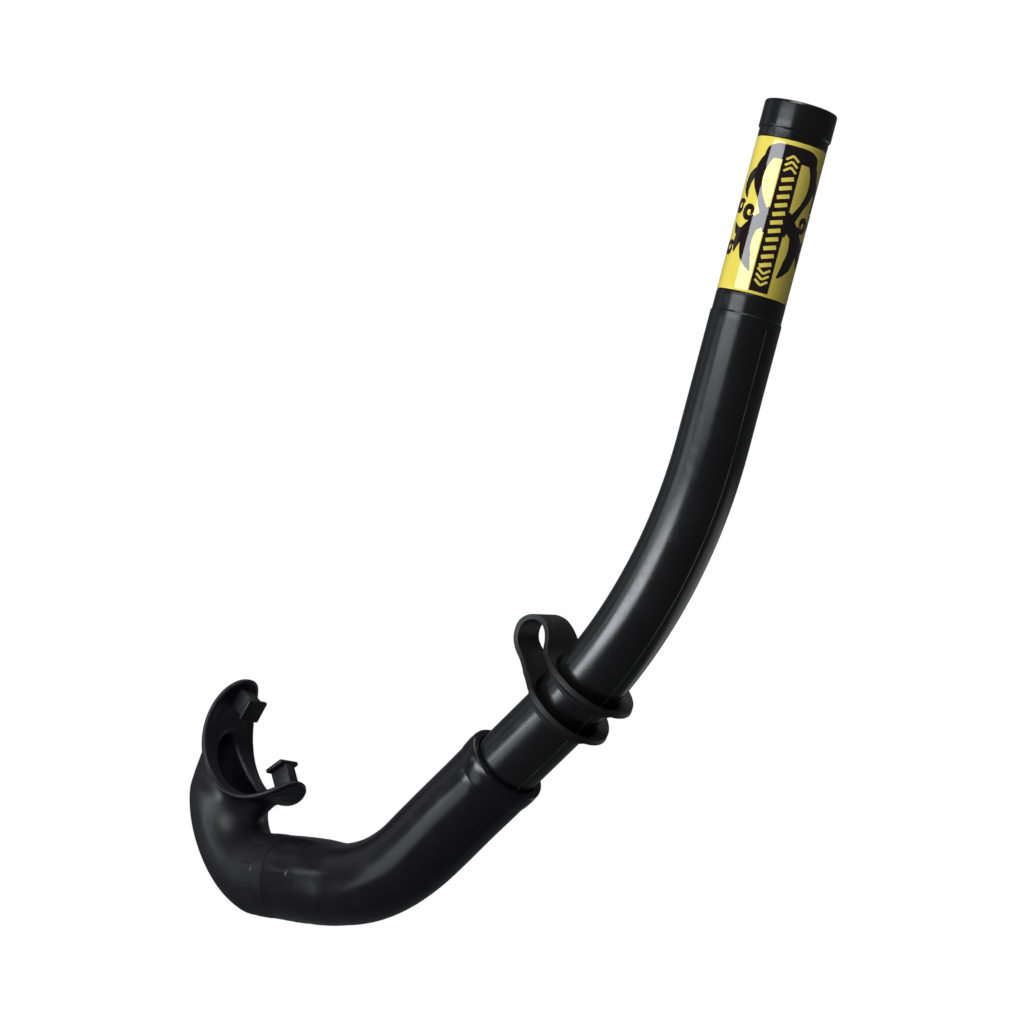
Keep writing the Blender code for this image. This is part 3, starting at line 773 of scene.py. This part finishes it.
def shield_point(angle, across, radius):
    centre = SHIELD_RADIUS * Vector((math.cos(MOUTH_ANGLE), 0.0, math.sin(MOUTH_ANGLE)))
    turned = MOUTH_ANGLE + math.pi - angle
    return centre + Vector((radius * math.cos(turned), across, radius * math.sin(turned)))


def turn_section(share, radius):
    """A section of the U-turn, whose outside is flattened."""
    path = mouth_path()
    flat = MOUTH_TURN_FLAT * math.sin(math.pi * share)
    place = path.frame(blend(MOUTH_STRAIGHT, path.length, share)) @ Matrix.Translation((0.0, 0.0, -flat))
    return section(place, radius - flat, radius)


def throat_section(share, radius, half, power=2.0):
    """A section between the U-turn, round, and the mouth opening, oval."""
    start, heading = mouth_path().at(mouth_path().length)
    turned = (heading % TAU) * (1 - share) + MOUTH_ANGLE * share
    place = Matrix.Translation(start * (1 - share)) @ Matrix.Rotation(-turned, 4, "Y")
    size = [blend(radius, side, share) for side in half]
    return section(place, *size, blend(2.0, power, share))


def mouth_axis(distance):
    return Path((0.0, 0.0, 0.0), MOUTH_ANGLE, [(SLOT_RISE, 0.0)]).frame(distance)


def mouth_body():
    path = mouth_path()
    first = GAP / 2 + 0.12 * MM
    body = [
        section(path.frame(-SPLIT_LEAD), TAIL_RADIUS, TAIL_RADIUS),
        section(path.frame(first), TAIL_RADIUS, TAIL_RADIUS),
    ]
    for k in range(1, 17):
        radius = blend(TAIL_RADIUS, MOUTH_TUBE_RADIUS, k / 16)
        body.append(section(path.frame(blend(first, MOUTH_STRAIGHT, k / 16)), radius, radius))
    body += [turn_section(k / 32, MOUTH_TUBE_RADIUS) for k in range(1, 33)]
    body += [throat_section(k / 12, MOUTH_TUBE_RADIUS, THROAT_HALF) for k in range(1, 13)]
    body += [section(mouth_axis(THROAT_RISE * k / 4), *THROAT_HALF) for k in range(1, 5)]
    return body


def mouth_airway():
    path = mouth_path()
    seat = BEAD_RADIUS + GAP
    reach = GAP / 2 + CONNECTOR_REACH + GAP
    stops = ((-SPLIT_LEAD - 2 * MM, seat), (reach, seat), (reach + 0.1 * MM, AIRWAY_RADIUS))
    airway = [section(path.frame(distance), radius, radius) for distance, radius in stops]
    airway += [turn_section(k / 24, AIRWAY_RADIUS) for k in range(1, 25)]
    airway += [throat_section(k / 8, AIRWAY_RADIUS, SLOT_HALF, SLOT_POWER) for k in range(1, 9)]
    airway.append(section(mouth_axis(SLOT_RISE), *SLOT_HALF, SLOT_POWER))
    return airway


def shield_skin():
    """The lip shield: thin in the middle, with a rounded bead along its rim."""
    outline = []
    for index in range(SHIELD_SIDES):
        along, wide = superellipse(TAU * index / SHIELD_SIDES, SHIELD_POWER)
        outline.append(Vector((along * SHIELD_HALF_ANGLE * SHIELD_MIDDLE, wide * SHIELD_HALF_WIDTH)))
    normals = []
    for index in range(SHIELD_SIDES):
        run = outline[(index + 1) % SHIELD_SIDES] - outline[index - 1]
        normals.append(Vector((run.y, -run.x)).normalized())
    inner = [point - normal * 2.2 * SHIELD_BEAD for point, normal in zip(outline, normals)]

    def loop(flat, offset):
        reach = SHIELD_MIDDLE + offset
        return [shield_point(SHIELD_SHIFT + p.x / SHIELD_MIDDLE, p.y, reach) for p in flat]

    loops = [loop([point * share for point in inner], SHIELD_THIN) for share in SHIELD_SHARES]
    for k in range(13):
        turn = math.pi / 2 - math.pi * k / 12
        grow = SHIELD_BEAD * math.cos(turn)
        flat = [point - normal * (SHIELD_BEAD - grow) for point, normal in zip(outline, normals)]
        height = blend(SHIELD_THIN, SHIELD_BEAD, math.cos(turn)) * math.sin(turn)
        if k in (0, 12):
            height = math.copysign(SHIELD_BEAD, math.sin(turn))
        loops.append(loop(flat, height))
    loops += [loop([point * share for point in inner], -SHIELD_THIN) for share in SHIELD_SHARES[::-1]]
    return loops


def make_tabs():
    """Two T-shaped bite tabs standing on the shield's concave face, as rounded blocks."""
    tabs = bmesh.new()
    for side in (-1.0, 1.0):
        angle = side * TAB_ANGLE
        turn = Matrix.Rotation(angle - MOUTH_ANGLE - 3 * math.pi / 2, 4, "Y")
        web_end = SHIELD_RADIUS + TAB_ROOT - TAB_WEB[2]
        for size, reach, corner in (
            (TAB_WEB, web_end + TAB_WEB[2] / 2, WEB_CORNER),
            (TAB_FLANGE, web_end + TAB_LAP - TAB_FLANGE[2] / 2, FLANGE_CORNER),
        ):
            made = bpy.data.meshes.new("block")
            with edited(made) as block:
                bmesh.ops.create_cube(block, size=1.0, matrix=Matrix.Diagonal((*size, 1.0)))
                bmesh.ops.bevel(
                    block, geom=block.edges, offset=corner, segments=3, affect="EDGES", profile=0.5)
                place = Matrix.Translation(shield_point(angle, 0.0, reach)) @ turn
                bmesh.ops.transform(block, matrix=place, verts=block.verts)
            tabs.from_mesh(made)
            bpy.data.meshes.remove(made)
    return tabs


def combine(piece, tool, operation):
    modifier = piece.modifiers.new("Combine", "BOOLEAN")
    modifier.operation = operation
    modifier.solver = "EXACT"
    modifier.object = tool


def voxels(piece, size):
    modifier = piece.modifiers.new("Remesh", "REMESH")
    modifier.mode = "VOXEL"
    modifier.voxel_size = size
    modifier.use_smooth_shade = True


def swell(piece, depth):
    modifier = piece.modifiers.new("Displace", "DISPLACE")
    modifier.direction = "NORMAL"
    modifier.mid_level = 0.0
    modifier.strength = depth


def make_mouthpiece():
    body = mesh_piece("mouth_body_skin", *skin_rings(mouth_body(), False))
    trimmer = placed("mouth_hollow", bpy.data.meshes.new("mouth_hollow"))
    with edited(trimmer.data) as hollow:
        bmesh.ops.create_cone(
            hollow,
            cap_ends=True, segments=2 * SECTION_SIDES,
            radius1=SHIELD_MIDDLE, radius2=SHIELD_MIDDLE, depth=4 * SHIELD_MIDDLE,
            matrix=Matrix.Translation(shield_point(0.0, 0.0, 0.0)) @ Matrix.Rotation(math.pi / 2, 4, "X"))
    airway = mesh_piece("mouth_airway_skin", *skin_rings(mouth_airway(), False))
    shield = mesh_piece("mouth_shield_skin", *skin_rings(shield_skin(), False))
    combine(body, trimmer, "DIFFERENCE")
    combine(body, shield, "UNION")
    for reach in (BLEND_REACH, -BLEND_REACH):
        voxels(body, BLEND_VOXEL)
        swell(body, reach)
    combine(body, airway, "DIFFERENCE")
    voxels(body, FINAL_VOXEL)
    smoother = body.modifiers.new("Smooth", "SMOOTH")
    smoother.factor = 0.5
    smoother.iterations = FINAL_ROUNDS
    graph = bpy.context.evaluated_depsgraph_get()
    mesh = bpy.data.meshes.new_from_object(body.evaluated_get(graph))
    for tool in (body, trimmer, shield, airway):
        bpy.data.objects.remove(tool, do_unlink=True)
    keep_largest(mesh)
    soften_neck(mesh)
    soften_slot(mesh)
    trim_split(mesh)
    relief_of_mouth(mesh)
    tabs = make_tabs()
    tabs.from_mesh(mesh)
    tabs.to_mesh(mesh)
    tabs.free()
    mesh.name = "mouthpiece_rubber"
    piece = placed("mouthpiece_moulding", mesh)
    shade(mesh, 50.0)
    rubber = soft_material("mouth_rubber", *RUBBER, 0.38, RUBBER_GRAIN)
    dress(piece, rubber, "mouth_body", "mouthpiece", "mouthpiece")


def keep_largest(mesh):
    """Drops the specks that a remesh leaves inside a thin wall."""
    with edited(mesh) as skin:
        left, islands = set(skin.verts), []
        while left:
            island = [left.pop()]
            for one in island:
                for edge in one.link_edges:
                    other = edge.other_vert(one)
                    if other in left:
                        left.remove(other)
                        island.append(other)
            islands.append(island)
        islands.sort(key=len)
        specks = [vertex for island in islands[:-1] for vertex in island]
        bmesh.ops.delete(skin, geom=specks, context="VERTS")


def soften(mesh, chosen, rounds):
    """Smooths the points for which chosen(point) holds."""
    with edited(mesh) as skin:
        picked = [vertex for vertex in skin.verts if chosen(vertex.co)]
        for _ in range(rounds):
            bmesh.ops.smooth_vert(
                skin, verts=picked, factor=0.5, use_axis_x=True, use_axis_y=True, use_axis_z=True)


def behind_shield(point):
    """How far a point lies behind the shield's back face."""
    centre = shield_point(0.0, 0.0, 0.0)
    return math.hypot(point.x - centre.x, point.z - centre.z) - SHIELD_BACK


def soften_neck(mesh):
    """Rounds the hollow between the lip shield and the tube, most in its middle."""
    for near, far, rounds in NECK_BANDS:
        soften(mesh, lambda point: near < behind_shield(point) < far, rounds)


def soften_slot(mesh):
    """Rounds the rim where the airway opens through the lip shield."""
    across = mouth_axis(0.0).inverted()

    def near_rim(point):
        local = across @ point
        high = abs(local.z) / SLOT_HALF[0]
        wide = abs(local.y) / SLOT_HALF[1]
        in_band = SLOT_BAND[0] < high ** SLOT_POWER + wide ** SLOT_POWER < SLOT_BAND[1]
        return in_band and behind_shield(point) <= 0.5 * MM

    soften(mesh, near_rim, SLOT_ROUNDS)


def trim_split(mesh):
    """Cuts the mouthpiece off square at the split, and makes the mesh finer under the grip pads."""
    place = mouth_path().frame(0.0)
    low, high = PAD_DISTANCE - PAD_HALF[0] - 1 * MM, PAD_DISTANCE + PAD_HALF[0] + 1 * MM

    def under_pad(vertex):
        reach = math.hypot(vertex.co.y, vertex.co.z)
        return low < vertex.co.x < high and reach > TAIL_RADIUS - 1 * MM

    with edited(mesh) as skin:
        bmesh.ops.transform(skin, matrix=place.inverted(), verts=skin.verts)
        cut = bmesh.ops.bisect_plane(
            skin,
            geom=skin.verts[:] + skin.edges[:] + skin.faces[:],
            plane_co=(SPLIT_HALF, 0.0, 0.0), plane_no=(-1.0, 0.0, 0.0), clear_outer=True, dist=1e-7)
        rim = [edge for edge in cut["geom_cut"] if isinstance(edge, bmesh.types.BMEdge) and edge.is_boundary]
        bmesh.ops.bridge_loops(skin, edges=rim)
        fine = [edge for edge in skin.edges if all(under_pad(vertex) for vertex in edge.verts)]
        bmesh.ops.subdivide_edges(skin, edges=fine, cuts=1, use_grid_fill=True)
        bmesh.ops.transform(skin, matrix=place, verts=skin.verts)
        bmesh.ops.recalc_face_normals(skin, faces=skin.faces)


def relief_of_mouth(mesh):
    """Adds the grip pads beside the split to the remeshed body."""
    place = mouth_path().frame(0.0)
    back = place.inverted()
    turn_back = place.to_3x3()
    for vertex in mesh.vertices:
        local = back @ vertex.co
        if not GAP < local.x < MOUTH_STRAIGHT:
            continue
        reach = math.hypot(local.y, local.z)
        if reach < TAIL_RADIUS - 1.2 * MM:
            continue
        height = pad_height(local.x, math.atan2(local.y, local.z))
        if height > 1e-6:
            vertex.co += turn_back @ Vector((0.0, local.y / reach, local.z / reach)) * height


# ---- keeper

# The folded strip seen from its side, from the barrel's axis out to the fold: (radial, axial) in millimetres
LOWER_LINE = (
    (0.0, -6.2), (6.0, -6.2), (11.0, -6.1), (15.0, -5.6), (19.0, -5.2),
    (23.0, -4.9), (26.1, -3.5), (28.0, -1.0), (28.5, 1.3))
UPPER_LINE = (
    (0.0, 4.9), (6.0, 4.3), (10.5, 3.7), (13.8, 4.3), (16.8, 6.2),
    (19.9, 7.5), (23.3, 7.6), (26.8, 5.4), (28.5, 1.3))
UPPER_TILT = 1.3 / 15.0  # slope of the upper ring, which the loop pulls down


def smooth_line(points, count):
    """Evenly spaced points, with the corners rounded by repeated averaging."""
    lengths = np.append(0.0, np.cumsum(np.linalg.norm(np.diff(points, axis=0), axis=1)))
    goals = np.linspace(0.0, lengths[-1], count + 1)
    even = np.stack([np.interp(goals, lengths, points[:, axis]) for axis in (0, 1)], axis=1)
    for _ in range(4):
        even[1:-1] = (even[:-2] + 2 * even[1:-1] + even[2:]) / 4
    return [Vector(point) for point in even], float(lengths[-1])


def half_width_at(run, total):
    """Half width of the flat strip at a distance from the barrel's axis along the strip."""
    disc = math.sqrt(max(0.0, KEEPER_RIM ** 2 - run ** 2))
    if run <= 0.0:
        return disc
    share = max(0.0, min(1.0, (run - WAIST_RUN) / (total - WAIST_RUN)))
    strip = LOOP_HALF_WIDTH + (WAIST_HALF_WIDTH - LOOP_HALF_WIDTH) * (1.0 - share) ** WAIST_POWER
    gap = (disc - strip) / KEEPER_WEB
    if abs(gap) > 8.0:
        return max(disc, strip)
    return strip + KEEPER_WEB * math.log1p(math.exp(gap))


def flat_outline(total):
    """The outline of half the flat keeper, from the back of its ring to the fold and round again."""
    one_side = []
    for k in range(40):
        turn = math.pi - math.radians(128) * k / 40
        one_side.append((KEEPER_RIM * math.cos(turn), KEEPER_RIM * math.sin(turn)))
    start = one_side[-1][0]
    for k in range(1, 49):
        run = blend(start, total, k / 48)
        one_side.append((run, half_width_at(run, total)))
    for k in range(1, 9):
        one_side.append((total, LOOP_HALF_WIDTH * (1 - k / 8)))
    other_side = [(x, -y) for x, y in reversed(one_side[1:-1])]
    return one_side + other_side


def keeper_half(side):
    """Middle surface of one ring and its half of the folded strip, as a grid of rays by steps."""
    stops = LOWER_LINE if side < 0 else UPPER_LINE
    beyond = (stops[-2][0] - 0.1, 2 * stops[-1][1] - stops[-2][1])
    line, total = smooth_line(MM * np.array(through(stops, 8, beyond)), KEEPER_STOPS)
    grid = []
    for edge_x, edge_y in flat_outline(total):
        turn = math.atan2(edge_y, edge_x)
        hole_x, hole_y = KEEPER_HOLE * math.cos(turn), KEEPER_HOLE * math.sin(turn)
        ray = []
        for step in range(KEEPER_STEPS + 1):
            share = step / KEEPER_STEPS
            flat_x, flat_y = blend(hole_x, edge_x, share), blend(hole_y, edge_y, share)
            if flat_x <= 0:
                x, z = flat_x, line[0].y - (UPPER_TILT * flat_x if side > 0 else 0.0)
            else:
                place = min(flat_x / total, 1.0) * KEEPER_STOPS
                index = min(KEEPER_STOPS - 1, int(place))
                point = line[index].lerp(line[index + 1], place - index)
                x, z = point.x, point.y
            distance = math.hypot(flat_x, flat_y)
            beside = float(smoothstep(8.5 * MM, 13.0 * MM, abs(flat_y)))
            ahead = float(smoothstep(1.0 * MM, 9.0 * MM, flat_x))
            out = max(0.0, min(distance, KEEPER_RIM) - KEEPER_HOLE) / (KEEPER_RIM - KEEPER_HOLE)
            flare = KEEPER_DISH * (out ** 0.35 - 0.72)
            lip = flare * (1.0 - float(smoothstep(0.0, 0.35, out)))
            fade = float(1.0 - smoothstep(KEEPER_RIM - 3 * MM, KEEPER_RIM + 2 * MM, flat_x))
            z += lip + (flare - lip) * (1.0 - ahead * (1.0 - beside)) * fade
            ray.append(Vector((x, flat_y, z)))
        grid.append(ray)
    return grid


def make_keeper():
    points, faces = [], []
    width = KEEPER_STEPS + 1
    for side in (-1.0, 1.0):
        grid = keeper_half(side)
        rays = len(grid)
        start = len(points)
        points += [point for ray in grid for point in ray]
        for index in range(rays):
            one, other = start + index * width, start + ((index + 1) % rays) * width
            for step in range(KEEPER_STEPS):
                quad = (one + step, other + step, other + step + 1, one + step + 1)
                faces.append(quad if side > 0 else quad[::-1])
    mesh = bpy.data.meshes.new("keeper_strip")
    mesh.from_pydata([tuple(point) for point in points], [], faces)
    place = barrel_path().frame(BEND_END + KEEPER_BELOW_BEND) @ Matrix.Rotation(-math.pi / 2, 4, "Y")
    mesh.transform(place @ Matrix.Rotation(math.pi + KEEPER_YAW, 4, "Z"))
    with edited(mesh) as skin:
        bmesh.ops.remove_doubles(skin, verts=skin.verts, dist=0.002 * MM)
        bmesh.ops.recalc_face_normals(skin, faces=skin.faces)
    piece = placed("keeper_strip", mesh)
    thick = piece.modifiers.new("Thickness", "SOLIDIFY")
    thick.thickness = KEEPER_THICKNESS
    thick.offset = 0.0
    thick.use_even_offset = True
    rim = piece.modifiers.new("Edges", "BEVEL")
    rim.width = KEEPER_EDGE
    rim.segments = 3
    rim.limit_method = "ANGLE"
    rim.angle_limit = math.radians(50)
    shade(mesh, 60.0)
    rubber = soft_material("keeper_silicone", *SILICONE, 0.46, SILICONE_GRAIN)
    dress(piece, rubber, "keeper_body", "keeper", "keeper")


# ---- connector

def dress_connector():
    n = Nodes("connector_plastic", (0.05, 0.05, 0.055), 0.4)
    n.set("Roughness", n.ramp(n.noise(120.0, 4.0), 0.3, 0.7, 0.34, 0.46))
    cloud = n.ramp(n.noise(60.0), 0.3, 0.7, 0.0, 1.0)
    n.set("Base Color", n.mix(cloud, (0.045, 0.045, 0.05), (0.06, 0.06, 0.065)))
    n.set("Normal", n.bump(n.noise(900.0, 3.0), 0.01 * MM, 0.4))
    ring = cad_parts["connector"]
    ring.data.materials.clear()
    ring.data.materials.append(n.made)


# ---- studio

CAMERA_SPOT = (0.77044, -0.67217, 0.10428)
CAMERA_RIGHT = (0.68323, 0.68370, 0.25642)
CAMERA_BACK = (0.70850, -0.70569, -0.00622)
CAMERA_LENS = 105.47  # in millimetres, on a sensor 36 mm wide


def make_camera():
    right = Vector(CAMERA_RIGHT).normalized()
    back = Vector(CAMERA_BACK)
    back = (back - right * back.dot(right)).normalized()
    up = back.cross(right)
    seen = Matrix((right, up, back)).transposed().to_4x4()
    data = bpy.data.cameras.new("camera")
    data.sensor_width = 36.0
    data.lens = CAMERA_LENS
    data.clip_start = 0.01
    data.clip_end = 50.0
    camera = placed("camera", data)
    camera.matrix_world = Matrix.Translation(CAMERA_SPOT) @ seen
    bpy.context.scene.camera = camera


def soft_light(name, spot, aim, size, power, colour):
    data = bpy.data.lights.new(name, "AREA")
    data.shape = "RECTANGLE"
    data.size, data.size_y = size
    data.energy = power
    data.color = colour
    way = Vector(aim) - Vector(spot)
    turned = way.to_track_quat("-Z", "Y").to_matrix().to_4x4()
    placed(name, data).matrix_world = Matrix.Translation(spot) @ turned


WHITE = (1.0, 1.0, 1.0)
COOL = (0.91, 0.95, 1.0)
LAMP_AIM = (0.11, 0.0, 0.08)
LAMPS = (  # (name, place, size, watts, colour)
    ("left_softbox", (-1.05, -0.45, 0.05), (0.5, 1.1), 0.4, COOL),
    ("high_softbox", (0.55, -1.1, 1.5), (0.9, 0.9), 17.0, WHITE),
    ("back_softbox", (0.35, 1.15, -0.18), (1.2, 0.5), 0.9, WHITE),
    ("top_softbox", (0.0, 0.1, 0.95), (0.6, 0.6), 2.2, WHITE))
AMBIENT_COLOUR = (0.93, 0.96, 1.0, 1.0)
AMBIENT_STRENGTH = 0.095
FLOOR_HALF = 30.0
FLOOR_HEIGHT = -0.17
KEY_Y = -0.95
KEY_STAGES = (  # (left, right, lowest, highest, radiance)
    (-0.60, -0.08, -0.75, -0.20, 2.0), (-0.45, 0.22, -0.20, 0.05, 13.5),
    (-1.00, -0.42, 0.05, 0.25, 2.2), (-0.25, 0.56, 0.262, 0.385, 8.0))


def make_studio():
    scene = bpy.context.scene
    scene.view_settings.view_transform = "Standard"
    scene.cycles.use_denoising = True
    world = bpy.data.worlds.new("studio")
    scene.world = world
    world.use_nodes = True
    tree = world.node_tree
    seen = tree.nodes["Background"]
    seen.inputs["Color"].default_value = (1.0, 1.0, 1.0, 1.0)
    lit = tree.nodes.new("ShaderNodeBackground")
    lit.inputs["Color"].default_value = AMBIENT_COLOUR
    lit.inputs["Strength"].default_value = AMBIENT_STRENGTH
    path = tree.nodes.new("ShaderNodeLightPath")
    choose = tree.nodes.new("ShaderNodeMixShader")
    tree.links.new(path.outputs["Is Camera Ray"], choose.inputs["Fac"])
    tree.links.new(lit.outputs["Background"], choose.inputs[1])
    tree.links.new(seen.outputs["Background"], choose.inputs[2])
    tree.links.new(choose.outputs["Shader"], tree.nodes["World Output"].inputs["Surface"])

    # A tall softbox in four stages, brightest beside the bend and the label
    for stage, (left, right, low, high, radiance) in enumerate(KEY_STAGES):
        size = (right - left, high - low)
        spot = ((right + left) / 2, KEY_Y, (low + high) / 2)
        power = radiance * math.pi * size[0] * size[1]
        soft_light("key_softbox_%d" % stage, spot, (spot[0], 0.0, spot[2]), size, power, COOL)
    for name, spot, size, watts, colour in LAMPS:
        soft_light(name, spot, LAMP_AIM, size, watts, colour)

    floor_mesh = bpy.data.meshes.new("floor")
    corners = ((-1, -1), (1, -1), (1, 1), (-1, 1))
    floor_mesh.from_pydata([(x * FLOOR_HALF, y * FLOOR_HALF, 0.0) for x, y in corners], [], [(0, 1, 2, 3)])
    floor = placed("floor", floor_mesh)
    floor.location = (0.0, 0.0, FLOOR_HEIGHT)
    pale = Nodes("pale_floor", (0.02, 0.02, 0.02), 0.9, Specular_IOR_Level=0.0,
                 Emission_Color=(1.0, 1.0, 1.0, 1.0), Emission_Strength=0.99)
    floor_mesh.materials.append(pale.made)
    floor.visible_diffuse = False
    floor.visible_glossy = False
    floor.visible_shadow = False


make_camera()
make_studio()
make_barrel()
make_label()
make_keeper()
make_elbow()
dress_connector()
make_mouthpiece()
